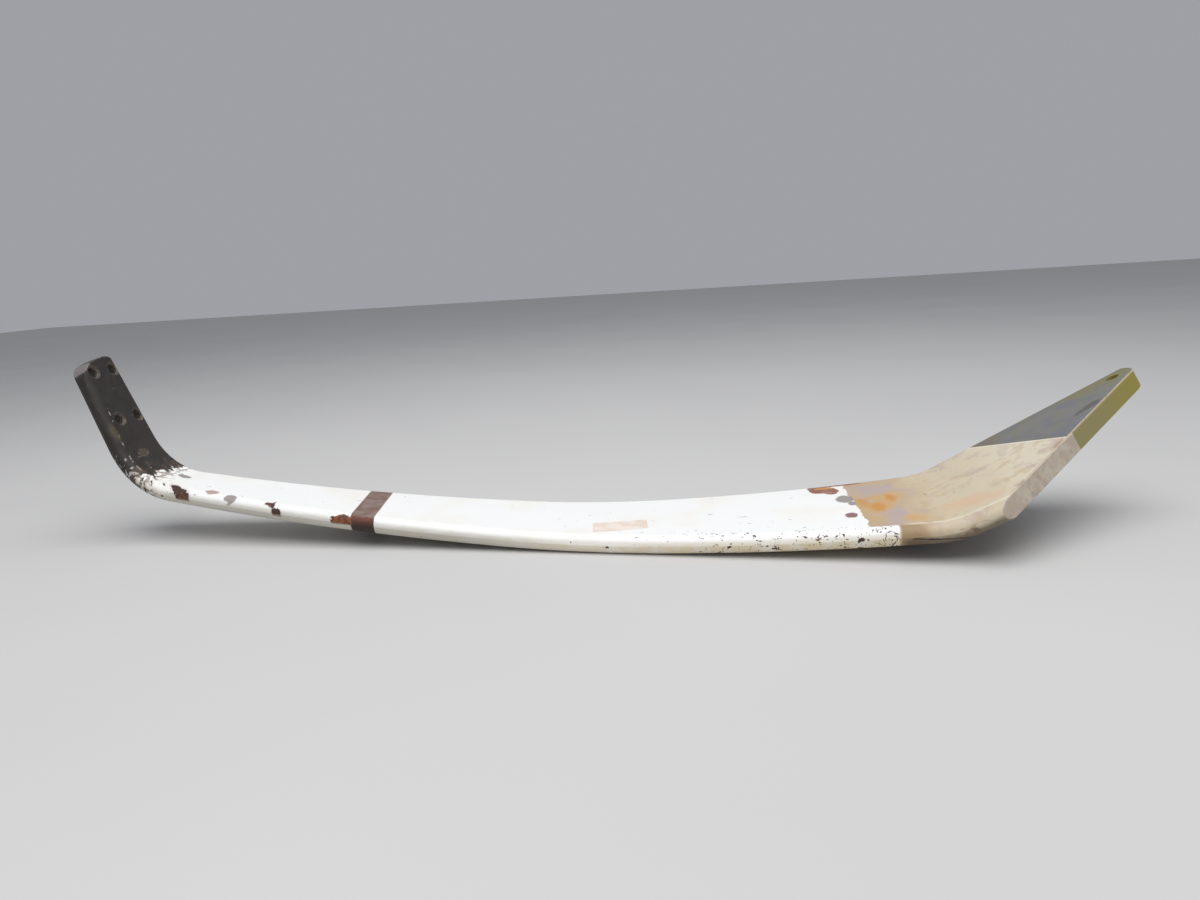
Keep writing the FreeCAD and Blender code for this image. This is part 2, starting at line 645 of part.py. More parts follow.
# --- Checks, then one STEP file for each piece ------------------------------------------------------
for item in doc.Objects:
    if "Invalid" in item.State or "Error" in item.State:
        raise RuntimeError(f"{item.Label} did not compute: {item.State}")
os.makedirs("parts", exist_ok=True)
for piece in (leg, tape):
    shape = piece.Shape
    if shape.isNull() or not shape.isValid() or len(shape.Solids) != 1:
        raise RuntimeError(f"{piece.Label} is not one valid solid")
    mass_centre = shape.Solids[0].CenterOfMass
    print(f"{piece.Label}: {shape.Volume / 1000:.2f} cm3, centre of mass {tuple(mass_centre)}")
    shape.exportStep(f"parts/{piece.Label}.step")
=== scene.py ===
import math

import bpy
from mathutils import Matrix, Vector

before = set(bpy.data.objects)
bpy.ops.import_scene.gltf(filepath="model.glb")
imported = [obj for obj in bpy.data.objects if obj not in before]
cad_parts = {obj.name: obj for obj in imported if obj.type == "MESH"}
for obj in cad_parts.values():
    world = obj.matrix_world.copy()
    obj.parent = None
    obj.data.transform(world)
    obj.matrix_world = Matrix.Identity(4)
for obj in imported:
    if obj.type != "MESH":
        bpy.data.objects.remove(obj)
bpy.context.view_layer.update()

# --- The spring leg -----------------------------------------------------------------------------
# One bar of flat spring steel, bent near both ends, with its long edges rounded. It is white over
# brown primer, with a cream and olive root end and a dark phosphated axle pad. Use has chipped it,
# most of all along the near edge.
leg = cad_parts["spring_leg"]
leg_finish = bpy.data.materials.new("worn_leg_paint")


class Field:
    """A socket of a material, which can stand in a sum as if it were a number."""

    def __init__(self, tree, socket=None):
        self.tree = tree
        self.socket = socket

    def node(self, kind, settings, sockets, out=0):
        """Any node, from its type, its settings, and the values or links of its sockets."""
        made = self.tree.nodes.new(f"ShaderNode{kind}")
        for name, value in settings.items():
            setattr(made, name, value)
        for name, value in sockets.items():
            if isinstance(value, Field):
                self.tree.links.new(value.socket, made.inputs[name])
            else:
                made.inputs[name].default_value = value
        return Field(self.tree, made.outputs[out] if made.outputs else None)

    def math(self, operation, *values):
        return self.node("Math", {"operation": operation}, dict(enumerate(values)))

    def __add__(self, other):
        return self.math("ADD", self, other)

    __radd__ = __add__

    def __sub__(self, other):
        return self.math("SUBTRACT", self, other)

    def __rsub__(self, other):
        return self.math("SUBTRACT", other, self)

    def __mul__(self, other):
        return self.math("MULTIPLY", self, other)

    __rmul__ = __mul__

    def __abs__(self):
        return self.math("ABSOLUTE", self)

    def __pow__(self, other):
        return self.math("POWER", self, other)

    def __or__(self, other):
        return self.math("MAXIMUM", self, other)

    def __and__(self, other):
        return self.math("MINIMUM", self, other)


def open_tree(material):
    """An empty node tree, ready for its first node."""
    material.use_nodes = True
    material.node_tree.nodes.clear()
    return Field(material.node_tree)


def close_tree(tree, sockets):
    """The material's one shader, with its values or links, joined to the output."""
    surface = tree.node("BsdfPrincipled", {}, sockets)
    surface.node("OutputMaterial", {}, {"Surface": surface})


def tone(red, green, blue):
    """A paint's colour, from the 0 to 255 that a colour card gives, for a shader."""
    card = [channel / 255 for channel in (red, green, blue)]
    return tuple(c / 12.92 if c < 0.04045 else ((c + 0.055) / 1.055) ** 2.4 for c in card) + (1,)


def step(value, low, high):
    """0 where the value is below low and 1 above high; the other way round if high is less."""
    edges = {"Value": value, "From Min": low, "From Max": high}
    return value.node("MapRange", {"interpolation_type": "SMOOTHSTEP"}, edges)


def coat(under, over, cover):
    """One colour laid over another where cover is 1."""
    return cover.node("Mix", {"data_type": "RGBA"}, {0: cover, 6: under, 7: over}, out=2)


# Object coordinates are in metres, and the sizes of the finish are in mm.
MM_PER_METRE = 1000


def grain(metres, size, detail=2, seed=0, stretch=(1, 1, 1), tilt=0, out=0):
    """Noise from 0 to 1 with lumps of about size mm, drawn out along an axis by its stretch.

    The tilt, in degrees, swings the long axis up from the floor.
    """
    layout = {
        "Vector": metres,
        "Location": (seed * 0.37, seed * 0.51, seed * 0.79),
        "Rotation": (0, math.radians(tilt), 0),
        "Scale": tuple(size * factor / MM_PER_METRE for factor in stretch),
    }
    laid = metres.node("Mapping", {"vector_type": "TEXTURE"}, layout)
    return laid.node("TexNoise", {}, {"Vector": laid, "Scale": 1, "Detail": detail}, out=out)


def shaken(place, metres, size, reach, seed=0):
    """The place in mm, pushed about by up to reach, so that what is drawn there has a ragged edge."""
    push = grain(metres, size, 2, seed, out=1)
    centred = push.node("VectorMath", {"operation": "SUBTRACT"}, {0: push, 1: (0.5, 0.5, 0.5)})
    moves = {"operation": "MULTIPLY_ADD"}
    return place.node("VectorMath", moves, {0: centred, 1: (2 * reach,) * 3, 2: place})


def near_any(plan, marks):
    """How far this is from the nearest oval mark: 0 in its middle and 1 at its edge.

    A mark is its middle in plan in mm, half its length and width, and how far it is turned.
    """
    turned = {0: plan}
    nearest = None
    for middle_x, middle_y, length, width, turn in marks:
        cos, sin = math.cos(math.radians(turn)), math.sin(math.radians(turn))
        if turn not in turned:
            ways = ((cos, sin, 0), (-sin, cos, 0))
            dot = {"operation": "DOT_PRODUCT"}
            shares = [plan.node("VectorMath", dot, {0: plan, 1: way}, out=1) for way in ways]
            turned[turn] = plan.node("CombineXYZ", {}, dict(enumerate(shares)))
        along, across = cos * middle_x + sin * middle_y, cos * middle_y - sin * middle_x
        scale = (1 / length, 1 / width, 0)
        shift = (-along / length, -across / width, 0)
        oval = {0: turned[turn], 1: scale, 2: shift}
        inside = plan.node("VectorMath", {"operation": "MULTIPLY_ADD"}, oval)
        away = inside.node("VectorMath", {"operation": "LENGTH"}, {0: inside}, out=1)
        nearest = away if nearest is None else nearest & away
    return nearest


# Along the near edge the white is gone past the first of these x, and whole before the second.
WHITE_END = (299, 296)
# Where the bar's near edge starts in plan, in mm, and how it runs from there.
NEAR_EDGE_START = (-474.4, -1.5)
NEAR_EDGE_SLOPE = math.tan(math.radians(-5.75))


def in_plan(place):
    """A place in mm as how far along the bar it is, and how far in from the near edge."""
    along, across = (place.node("SeparateXYZ", {}, {0: place}, out=axis) for axis in range(2))
    inwards = across - NEAR_EDGE_START[1] - (along - NEAR_EDGE_START[0]) * NEAR_EDGE_SLOPE
    return place.node("CombineXYZ", {}, {0: along, 1: inwards})


tree = open_tree(leg_finish)
metres = tree.node("TexCoord", {}, {}, out="Object")
place = metres.node("VectorMath", {"operation": "SCALE"}, {0: metres, "Scale": MM_PER_METRE})
x, y, z = (place.node("SeparateXYZ", {}, {0: place}, out=axis) for axis in range(3))
facing = tree.node("NewGeometry", {}, {}, out="Normal")
facing_z = facing.node("SeparateXYZ", {}, {0: facing}, out=2)

ragged = shaken(place, metres, 5, 2.2, seed=1)
torn = shaken(ragged, metres, 1.6, 0.7, seed=2)
plan = in_plan(place)
torn_plan = in_plan(torn)
broad = grain(metres, 60, 3, seed=3)
patchy = grain(metres, 14, 4, seed=4)
lumpy = grain(metres, 5, 4, seed=5)
gritty = grain(metres, 1.3, 3, seed=6)
soft = grain(metres, 24, 3, seed=7)

# How far along the root a point lies: the root climbs away from the floor.
ROOT_WAY = (0.882, 0.4713)
along_root = ROOT_WAY[0] * x + ROOT_WAY[1] * z

# White gloss over the middle of the leg. Where it turns down round the edges it is painted a little
# yellower and darker, partly yellowed paint and partly painted shade, more so towards the root; towards
# the pad those edges get a grey painted shade as well.
WHITE_PAINT = tone(248, 248, 246)
WHITE_WARM = tone(246, 243, 236)
AGED_SHADED_PAINT = tone(228, 210, 172)
FAR_EDGE_START = (12.6, 65.1)
FAR_EDGE_SLOPE = math.tan(math.radians(2.5))
from_near = y - NEAR_EDGE_START[1] - (x - NEAR_EDGE_START[0]) * NEAR_EDGE_SLOPE
from_far = FAR_EDGE_START[1] - y + ((x - FAR_EDGE_START[0]) | 0) * FAR_EDGE_SLOPE
turned_down = step(facing_z, 0.8, -0.2)
towards_root = step(x, -250, 230)
colour = coat(WHITE_PAINT, WHITE_WARM, step(broad, 0.45, 0.7))
# Yellowed paint and painted shade on the faces that turn down: this colour follows which way the
# surface faces.
aged_and_shade = turned_down * (0.3 + 0.6 * towards_root) * (0.55 + 0.45 * step(patchy, 0.3, 0.6))
colour = coat(colour, AGED_SHADED_PAINT, aged_and_shade)
# Painted shade: a grey laid over the faces that turn down, towards the pad.
SHADE_GREY_PAINT = tone(172, 166, 150)
painted_shade_left = step(facing_z, 0.75, -0.1) * step(x, 40, -120) * 0.6
colour = coat(colour, SHADE_GREY_PAINT, painted_shade_left)

# The root end was never sprayed white: its old cream shows, mottled and stained by oil.
CREAM = tone(206, 193, 167)
CREAM_TAN = tone(189, 165, 132)
CREAM_PALE = tone(215, 207, 186)
CREAM_MAUVE = tone(187, 168, 157)
CREAM_PINK = tone(212, 180, 152)
CREAM_START = (271, 20)
CREAM_LEAN = 0.06
cream_border = x - CREAM_START[0] - CREAM_LEAN * (CREAM_START[1] - y)
cream_border = cream_border + (patchy - 0.5) * 12 + (lumpy - 0.5) * 5
cream = step(cream_border, -0.5, 0.5) & step(from_near, 9, 10) | step(x, 297, 299)
cream_colour = coat(CREAM_TAN, CREAM, step(x + (patchy - 0.5) * 110, 290, 360))
cream_colour = coat(cream_colour, CREAM_PALE, step(along_root + (patchy - 0.5) * 60, 345, 395) * 0.7)
cream_colour = coat(cream_colour, CREAM_TAN, step(patchy + (broad - 0.5) * 0.6, 0.46, 0.66) * 0.6)
cream_colour = coat(cream_colour, CREAM_MAUVE, step(soft + (lumpy - 0.5) * 0.4, 0.5, 0.68) * 0.7)
pink_middle = near_any(plan, [(360, 35, 30, 15, -30)]) + (patchy - 0.5) * 1.2
cream_colour = coat(cream_colour, CREAM_PINK, step(pink_middle, 1.2, 0.3) * 0.8)
colour = coat(colour, cream_colour, cream)

# Oil and rust have run out over the cream where the white ends. A painted highlight runs along its near
# crease, and painted shade lies where its near edge turns down.
RUST_ORANGE = tone(196, 140, 66)
RUST_TAN = tone(203, 160, 104)
OIL_MAUVE = tone(180, 164, 163)
mauve_haze = near_any(plan, [(295, 120, 20, 15, 0), (300, 40, 10, 30, 0)])
colour = coat(colour, OIL_MAUVE, step(mauve_haze + (patchy - 0.5) * 2.4, 1.6, 0.2) * cream * 0.9)
tan_runs = [(290, 70, 15, 30, 0), (305, 90, 10, 25, -30), (315, 25, 15, 8, 0)]
tan_run = near_any(plan, tan_runs) + (soft - 0.5) * 2.6 + (lumpy - 0.5)
colour = coat(colour, RUST_TAN, step(tan_run, 1.4, 0.1) * cream * 0.8)
orange_runs = [(280, 80, 7, 15, 0), (290, 65, 6, 15, 0), (305, 90, 4, 12, 0)]
orange_run = near_any(plan, orange_runs) + (soft - 0.5) * 1.6 + (lumpy - 0.5)
colour = coat(colour, RUST_ORANGE, step(orange_run, 1.35, 0.3) * cream * 0.8)
SPOT_BROWN = tone(126, 100, 76)
oil_spots = step(grain(metres, 7, 2, seed=24), 0.735, 0.76)
colour = coat(colour, SPOT_BROWN, oil_spots * cream * step(facing_z, 0.5, 0.8) * 0.75)
SMEAR_BROWN = tone(150, 124, 88)
near_smear = step(x, 298, 300) * step(x + (soft - 0.5) * 40, 330, 308) * step(from_near, 12, 7)
colour = coat(colour, SMEAR_BROWN, near_smear * 0.75)
low_rust = step(grain(metres, 6, 4, seed=9, stretch=(2.2, 1, 1)), 0.5, 0.6)
low_rust = low_rust * step(x, 335, 352) * step(facing_z, 0.35, 0.1) * step(facing_z, -0.5, -0.2)
LOW_RUST = tone(112, 80, 56)
colour = coat(colour, LOW_RUST, low_rust * 0.7)
BLACK_LINE_AT = (328, 22.5)
BLACK_LINE_SLOPE = 0.03
off_line = z - BLACK_LINE_AT[1] - BLACK_LINE_SLOPE * (x - BLACK_LINE_AT[0])
black_line = step(abs(off_line + (lumpy - 0.5) * 3), 1, 0.5)
black_line = black_line * step(abs(x - 330), 24, 20) * step(from_near, 6, 5)
LINE_BLACK = tone(38, 30, 24)
colour = coat(colour, LINE_BLACK, black_line)
# Painted highlight: a pale strip along the crease where the cream's top meets its near edge.
CREASE_HIGHLIGHT = tone(228, 221, 202)
crease_highlight = step(abs(from_near - 10.5), 3, 1) * step(x, 298, 312) * step(patchy, 0.3, 0.5)
colour = coat(colour, CREASE_HIGHLIGHT, crease_highlight * 0.55)
# Painted shade: the cream darkens to brown where its near edge turns down.
LOW_SHADE_BROWN = tone(84, 70, 52)
low_shade = step(facing_z + (soft - 0.5) * 0.3, 0.1, -0.45) * step(x, 298, 306)
colour = coat(colour, LOW_SHADE_BROWN, low_shade * 0.75)

# The sawn facet: its cream is thin and greyed, and brown is smeared over the top beside it.
SAWN_WAY = (0.567, -0.766, 0.303)
SAWN_AT = 293.7
into_saw = SAWN_AT - (SAWN_WAY[0] * x + SAWN_WAY[1] * y + SAWN_WAY[2] * z)
sawn = step(into_saw, 0.9, 0.3)
FACET_CREAM = tone(184, 169, 152)
FACET_GREY = tone(150, 138, 128)
FACET_PALE = tone(204, 196, 180)
facet_colour = coat(FACET_CREAM, FACET_PALE, step(patchy, 0.42, 0.62) * 0.6)
facet_colour = coat(facet_colour, FACET_GREY, step(lumpy, 0.5, 0.72) * 0.4)
colour = coat(colour, facet_colour, sawn)
above_saw = step(into_saw, 10, 2) * step(x, 385, 400) * step(facing_z, 0.75, 0.85)
top_smear = above_saw * step(patchy + (soft - 0.5) * 0.6, 0.46, 0.6)
SMEAR_TOP = tone(158, 134, 112)
colour = coat(colour, SMEAR_TOP, top_smear * 0.8)

# Beyond a masked line across the root lies the old olive and grey finish. The line shows a pale
# edge, and the facet's rim is rubbed bare there and painted lighter as a highlight.
LINE_START = 377.7
LINE_LEAN = 0.689
LINE_START_Y = 69
past_line = along_root - LINE_START - LINE_LEAN * (LINE_START_Y - y) - 7 * sawn
past_line = past_line + (gritty - 0.5) * 1.2
root_end = step(past_line, -0.4, 0.4)
ROOT_GREY = tone(120, 118, 115)
ROOT_BLUE = tone(108, 110, 116)
ROOT_GREEN = tone(118, 118, 100)
ROOT_OLIVE = tone(122, 117, 84)
ROOT_BROWN = tone(120, 104, 90)
FACET_OLIVE = tone(146, 137, 90)
TIP_OLIVE = tone(150, 139, 66)
root_colour = coat(ROOT_GREY, ROOT_BLUE, step(soft, 0.42, 0.6) * 0.8)
root_colour = coat(root_colour, ROOT_GREEN, step(patchy, 0.5, 0.66) * 0.6)
olive_reach = from_far + (soft - 0.5) * 50 + step(along_root, 505, 440) * 18
root_colour = coat(root_colour, ROOT_OLIVE, step(olive_reach, 42, 12) * 0.85)
brown_reach = past_line + (soft - 0.5) * 44 + step(from_far, 8, 55) * 30
root_colour = coat(root_colour, ROOT_BROWN, step(brown_reach, 26, 4) * 0.8)
dark_blotch = near_any(torn_plan, [(480, 125, 10, 5, 30), (470, 120, 8, 3, 30)])
BLOTCH_GREY = tone(86, 84, 84)
root_colour = coat(root_colour, BLOTCH_GREY, step(dark_blotch, 1.3, 0.6) * 0.8)
side_olive = coat(FACET_OLIVE, TIP_OLIVE, step(along_root + (patchy - 0.5) * 30, 470, 515))
side_olive = coat(side_olive, FACET_GREY, step(lumpy, 0.6, 0.72) * 0.35)
root_colour = coat(root_colour, side_olive, sawn | step(facing_z, 0.6, 0.5) * step(x, 500, 512))
colour = coat(colour, root_colour, root_end)
line_edge = step(abs(past_line + 1.6), 1.5, 0.9) * step(facing_z, 0.6, 0.8)
LINE_PALE = tone(226, 218, 200)
colour = coat(colour, LINE_PALE, line_edge * 0.7)
# A pale strip along the facet's top corner: bare metal and a painted highlight.
BARE_RIM_AND_HIGHLIGHT = tone(196, 180, 162)
rim_and_highlight = step(into_saw, 2.6, 1.8) * step(facing_z, 0.4, 0.6) * step(x, 395, 405)
rim_and_highlight = rim_and_highlight * (1 - sawn) * step(gritty, 0.36, 0.46)
colour = coat(colour, BARE_RIM_AND_HIGHLIGHT, rim_and_highlight)

# The axle pad and its bend have lost the white: dark phosphated steel, rubbed and scratched. Along
# the pad means distance up its slope.
PAD_WAY = (-0.365, 0.931)
PAD_DARK = tone(40, 35, 32)
PAD_OLIVE = tone(46, 42, 36)
PAD_MAUVE = tone(52, 43, 42)
PAD_WORN = tone(80, 73, 68)
PAD_FRINGE = tone(128, 108, 98)
along_pad = PAD_WAY[0] * x + PAD_WAY[1] * z
pad_place = tree.node("CombineXYZ", {}, {0: along_pad, 1: y})
PAD_START = (-455, 20)
PAD_LEAN = 0.1
pad_border = PAD_START[0] + PAD_LEAN * (y - PAD_START[1]) - x
pad_border = pad_border + (soft - 0.5) * 44 + (lumpy - 0.5) * 26
fringe = step(pad_border, -15, -2) * step(lumpy + (gritty - 0.5) * 0.2, 0.44, 0.54)
pad = step(pad_border + (gritty - 0.5) * 8, -1.5, 1.5)
pad_colour = coat(PAD_DARK, PAD_OLIVE, step(patchy, 0.42, 0.62))
pad_mauve_at = near_any(pad_place, [(280, 50, 30, 20, 0)]) + (patchy - 0.5)
pad_colour = coat(pad_colour, PAD_MAUVE, step(pad_mauve_at, 1.2, 0.4) * 0.7)
pad_colour = coat(pad_colour, PAD_WORN, step(lumpy, 0.62, 0.78) * 0.35)
rubbed = grain(metres, 3, 3, seed=10, stretch=(9, 0.5, 1), tilt=-111.4)
pad_colour = coat(pad_colour, PAD_WORN, step(rubbed, 0.62, 0.74) * 0.5)
olive_rub = step(near_any(pad_place, [(290, 10, 12, 4, 0)]), 1.2, 0.4)
PAD_GREEN = tone(98, 88, 62)
pad_colour = coat(pad_colour, PAD_GREEN, olive_rub * 0.5)
pad_brown = step(pad_border, 16, 2) * step(patchy, 0.42, 0.56)
PAD_BROWN = tone(92, 72, 60)
pad_colour = coat(pad_colour, PAD_BROWN, pad_brown * 0.7)
colour = coat(colour, PAD_FRINGE, fringe * 0.8)
colour = coat(colour, pad_colour, pad)

# Rubs on the pad: a bright broken line along its near crease, rubbed and partly a painted highlight,
# faint scratches, a round dent, and pale blots at the foot of its near edge.
# The crease line is part rub and part painted highlight; the fine lines are scratches.
PAD_SCRATCH_AND_GLINT = tone(150, 141, 130)
CREASE_START = (240, 6)
CREASE_SLOPE = 0.14
off_crease = abs(y - CREASE_START[1] - CREASE_SLOPE * (along_pad - CREASE_START[0]) + (lumpy - 0.5) * 3)
crease_rub_and_glint = step(off_crease, 1.1, 0.5) * step(abs(along_pad - 278), 46, 40) * step(x, -445, -460)
broken = step(grain(metres, 7, 2, seed=13), 0.48, 0.54)
fine_lines = step(grain(metres, 3, 1, seed=26, stretch=(1, 6, 1)), 0.76, 0.79) * step(facing_z, 0, 0.3)
pad_scratch_and_glint = (crease_rub_and_glint * broken | fine_lines * 0.4) * pad
colour = coat(colour, PAD_SCRATCH_AND_GLINT, pad_scratch_and_glint * step(gritty, 0.3, 0.5))
dent = near_any(shaken(pad_place, metres, 5, 2, seed=14), [(260, 30, 4, 7, 0)])
DENT_BROWN = tone(84, 72, 60)
colour = coat(colour, DENT_BROWN, step(dent, 1.1, 0.6) * 0.7)
DENT_RIM = tone(118, 98, 92)
colour = coat(colour, DENT_RIM, step(abs(dent - 1), 0.3, 0.1) * step(gritty, 0.46, 0.56) * 0.8)
blots = step(grain(metres, 4, 2, seed=15), 0.58, 0.64)
blots = blots * step(abs(along_pad - 245), 24, 16) * step(from_near, 8, 4)
BLOT_GREY = tone(182, 176, 168)
colour = coat(colour, BLOT_GREY, blots * pad * 0.9)

# The four bolt holes' countersinks are rubbed to the metal, and so are the pad's ground corner
# and the rim of its tip.
# They stand in a rectangle: its middle along or across the pad, and half its length or width.
HOLES_ALONG = (330.6, 27.8)
HOLES_ACROSS = (40.1, 14.3)
BORE_RADIUS = 5.6
SINK_RADIUS = 8.0
RIM_BLUR = 0.4
hole_along = abs(along_pad - HOLES_ALONG[0]) - HOLES_ALONG[1]
hole_across = abs(y - HOLES_ACROSS[0]) - HOLES_ACROSS[1]
hole_away = (hole_along * hole_along + hole_across * hole_across) ** 0.5
sink = step(hole_away, SINK_RADIUS + RIM_BLUR, SINK_RADIUS - RIM_BLUR)
sink = sink * step(hole_away, BORE_RADIUS - 0.6, BORE_RADIUS)
sink = sink * step(x, -470, -480)
SINK_DARK = tone(58, 51, 46)
SINK_BRIGHT = tone(116, 104, 94)
sink_colour = coat(SINK_DARK, SINK_BRIGHT, step(gritty, 0.42, 0.62))
colour = coat(colour, sink_colour, sink * 0.85)
CORNER_START = (355.5, 8.5)
CORNER_SLOPE = 0.688
past_corner = along_pad - CORNER_START[0] - CORNER_SLOPE * (y - CORNER_START[1])
corner_ground = step(past_corner + (gritty - 0.5) * 1.5, -0.6, 0.8)
corner_ground = corner_ground * step(y, 31, 27) * step(x, -500, -505)
CORNER_STEEL = tone(120, 113, 111)
colour = coat(colour, CORNER_STEEL, corner_ground)
TIP_RIM_AT = 372.5
tip_rim = step(along_pad, TIP_RIM_AT - 1, TIP_RIM_AT + 1) * step(x, -500, -505)
TIP_STEEL = tone(120, 108, 104)
colour = coat(colour, TIP_STEEL, tip_rim * step(lumpy, 0.3, 0.6) * 0.8)

# A band of primer round the bar, where a line clamp kept the white off it, and the rust beside it.
BAND_SHEEN_TOP = tone(138, 118, 111)
BAND_BROWN = tone(120, 94, 82)
BAND_RED = tone(104, 58, 42)
BAND_SHADE_LOW = tone(52, 36, 28)
BAND_AT = (-211.7, 18)
BAND_LEAN = 0.174
BAND_HALF_WIDTH = 12.5
band_middle = BAND_AT[0] - BAND_LEAN * (y - BAND_AT[1])
from_band = abs(x - band_middle + (gritty - 0.5) * 1.6)
band = step(from_band, BAND_HALF_WIDTH + 0.5, BAND_HALF_WIDTH - 0.5)
# The band's greyer top is a painted sheen, and its dark lower side, where it turns down, is painted
# shade.
band_colour = coat(BAND_SHEEN_TOP, BAND_BROWN, step(patchy, 0.4, 0.62))
band_colour = coat(band_colour, BAND_RED, step(facing_z + (lumpy - 0.5) * 0.2, 0.97, 0.8))
band_colour = coat(band_colour, BAND_SHADE_LOW, step(facing_z + (lumpy - 0.5) * 0.4, 0.75, 0.0))
colour = coat(colour, band_colour, band)
RUST_BLOOM = tone(136, 76, 42)
blooms = [(-225, 0, 10, 5, 0), (-235, 0, 4, 3, 0)]
rust_bloom = near_any(in_plan(shaken(place, metres, 3.5, 3, seed=16)), blooms)
bloom = step(rust_bloom, 1.1, 0.9) * step(facing_z, -0.3, -0.1)
BLOOM_DARK = tone(92, 52, 34)
bloom_colour = coat(RUST_BLOOM, BLOOM_DARK, step(lumpy, 0.42, 0.6))
colour = coat(colour, bloom_colour, bloom)

# The big chips near the pad go down to brown primer, and the shallow ones to grey and pink. Gravel
# has left small chips along the near edge, thickest towards the root, and a few strokes above it.
CHIP = tone(64, 46, 36)
CHIP_RIM = tone(150, 130, 116)
CHIP_RED = tone(112, 72, 52)
upward = step(facing_z, -0.35, -0.1)
clamp_chips = [(-420, 5, 10, 4, -30), (-410, 0, 8, 5, -30)]
scrape_chips = [(-310, 5, 4, 2, 0), (-305, 5, 2, 4, 0), (-300, 0, 5, 2, 0)]
big_chip_away = near_any(torn_plan, clamp_chips + scrape_chips)
chip_grain = grain(metres, 6.5, 3, seed=22, stretch=(1.2, 1, 1))
chip_share = 0.09 * step(x, 90, 170) + 0.035 * step(abs(x - 35), 25, 10)
chip_zone = step(from_near, 12, 7) * step(x, -300, -270) * step(x, *WHITE_END)
small_chips = step(chip_grain + chip_share, 0.725, 0.74) * chip_zone
chips = (step(big_chip_away, 1.12, 0.92) * upward) | small_chips
chip_rim = step(big_chip_away, 1.7, 1.1) * step(gritty, 0.4, 0.56) * upward
colour = coat(colour, CHIP_RIM, chip_rim * 0.45 * (1 - pad))
chip_colour = coat(CHIP, CHIP_RED, step(grain(metres, 9, 2, seed=17), 0.45, 0.6) * 0.7)
colour = coat(colour, chip_colour, chips)
SHALLOW_GREY = tone(152, 142, 138)
SHALLOW_PINK = tone(178, 148, 134)
grey_chips = [(-355, 5, 7, 5, 0), (-435, 40, 8, 4, 0), (265, 95, 8, 12, 0), (270, 80, 4, 6, 0)]
grey_chip = step(near_any(torn_plan, grey_chips), 1.12, 0.9) * step(facing_z, 0, 0.3)
stroke_zone = step(abs(from_near - 27), 20, 14) * step(x, 60, 150) * step(x, *WHITE_END)
strokes = step(grain(metres, 3.5, 2, seed=23, stretch=(3, 1, 1)) + 0.03 * stroke_zone, 0.735, 0.75)
strokes = strokes * step(facing_z, 0.3, 0.6) * step(x, -440, -400) * step(x, 268, 264)
colour = coat(colour, SHALLOW_GREY, (grey_chip | strokes) * 0.95)
pink_chip = step(near_any(torn_plan, [(-380, 10, 8, 5, 0)]), 1.15, 0.8) * step(facing_z, 0, 0.3)
colour = coat(colour, SHALLOW_PINK, pink_chip * 0.9)

# Where the white meets the cream it has flaked off red primer, most of all at the far edge. A
# faint rubbed line lies along that edge in the middle of the leg.
PRIMER_RED = tone(146, 96, 78)
primer_flakes = [(245, 130, 10, 12, 0), (255, 125, 8, 12, 0), (240, 135, 6, 8, 0)]
primer_away = near_any(torn_plan, primer_flakes)
far_red = step(from_far + (lumpy - 0.5) * 6, 13, 11)
far_red = far_red * step(x, 242, 250) * step(x + (patchy - 0.5) * 20, 294, 286)
primer = step(primer_away, 1.05, 0.95) * upward | far_red
PRIMER_PALE = tone(166, 128, 116)
primer_colour = coat(PRIMER_RED, PRIMER_PALE, step(patchy, 0.45, 0.62) * 0.7)
orange_strip = near_any(torn_plan, [(250, 135, 10, 4, 0)])
PRIMER_ORANGE = tone(190, 140, 84)
primer_colour = coat(primer_colour, PRIMER_ORANGE, step(orange_strip, 1.1, 0.8))
colour = coat(colour, primer_colour, primer)
brown_flake = step(near_any(torn_plan, [(265, 45, 5, 7, 0)]), 1.15, 0.9)
FLAKE_BROWN = tone(142, 108, 104)
colour = coat(colour, FLAKE_BROWN, brown_flake)
far_line = step(facing_z, 0.5, 0.7) * step(facing_z, 0.985, 0.94) * step(from_far, 14, 10)
far_line = far_line * step(abs(x + 15 + (soft - 0.5) * 30), 48, 30)
FAR_LINE_PINK = tone(168, 130, 118)
colour = coat(colour, FAR_LINE_PINK, far_line * 0.45)

# Grit has peppered the near edge, most of all towards the root. Its white is frayed beside the pad
# and cracked where it ends.
pepper = grain(metres, 2.3, 2, seed=8, stretch=(1.3, 1, 1))
peppered = step(from_near, 19, 6) * step(x, 40, 190) * step(x, *WHITE_END)
peppers = step(pepper + 0.075 * peppered, 0.725, 0.745)
peppers = peppers * step(from_near, 26, 14) * step(x, 0, 60) * step(x, *WHITE_END)
fray = step(grain(metres, 4, 3, seed=18), 0.6, 0.63)
fray = fray * step(from_near, 14, 9) * step(abs(x + 446), 26, 12)
split = abs(grain(metres, 8, 2, seed=19) - 0.5)
crack = step(split, 0.022, 0.01) * step(x, 276, 282) * step(x, *WHITE_END) * step(from_near, 9, 5)
specks = peppers | fray | crack
colour = coat(colour, CHIP, specks)

bare = chips | specks | band | pad | cream | root_end
flaked = chips | specks | primer | bloom
roughness = 0.28 + 0.22 * bare + 0.12 * gritty + 0.1 * patchy + 0.12 * flaked
relief = (1 - flaked) * 0.8 + (1 - (band | pad)) * 0.5 + gritty * 0.12 + lumpy * 0.2
relief = relief + pad * gritty * 0.25 + bloom * lumpy * 1.5 - pad_scratch_and_glint * 0.5
bump = tree.node("Bump", {}, {"Strength": 0.5, "Distance": 0.0003, "Height": relief})
close_tree(tree, {"Base Color": colour, "Roughness": roughness, "Normal": bump})
leg.data.materials.clear()
leg.data.materials.append(leg_finish)

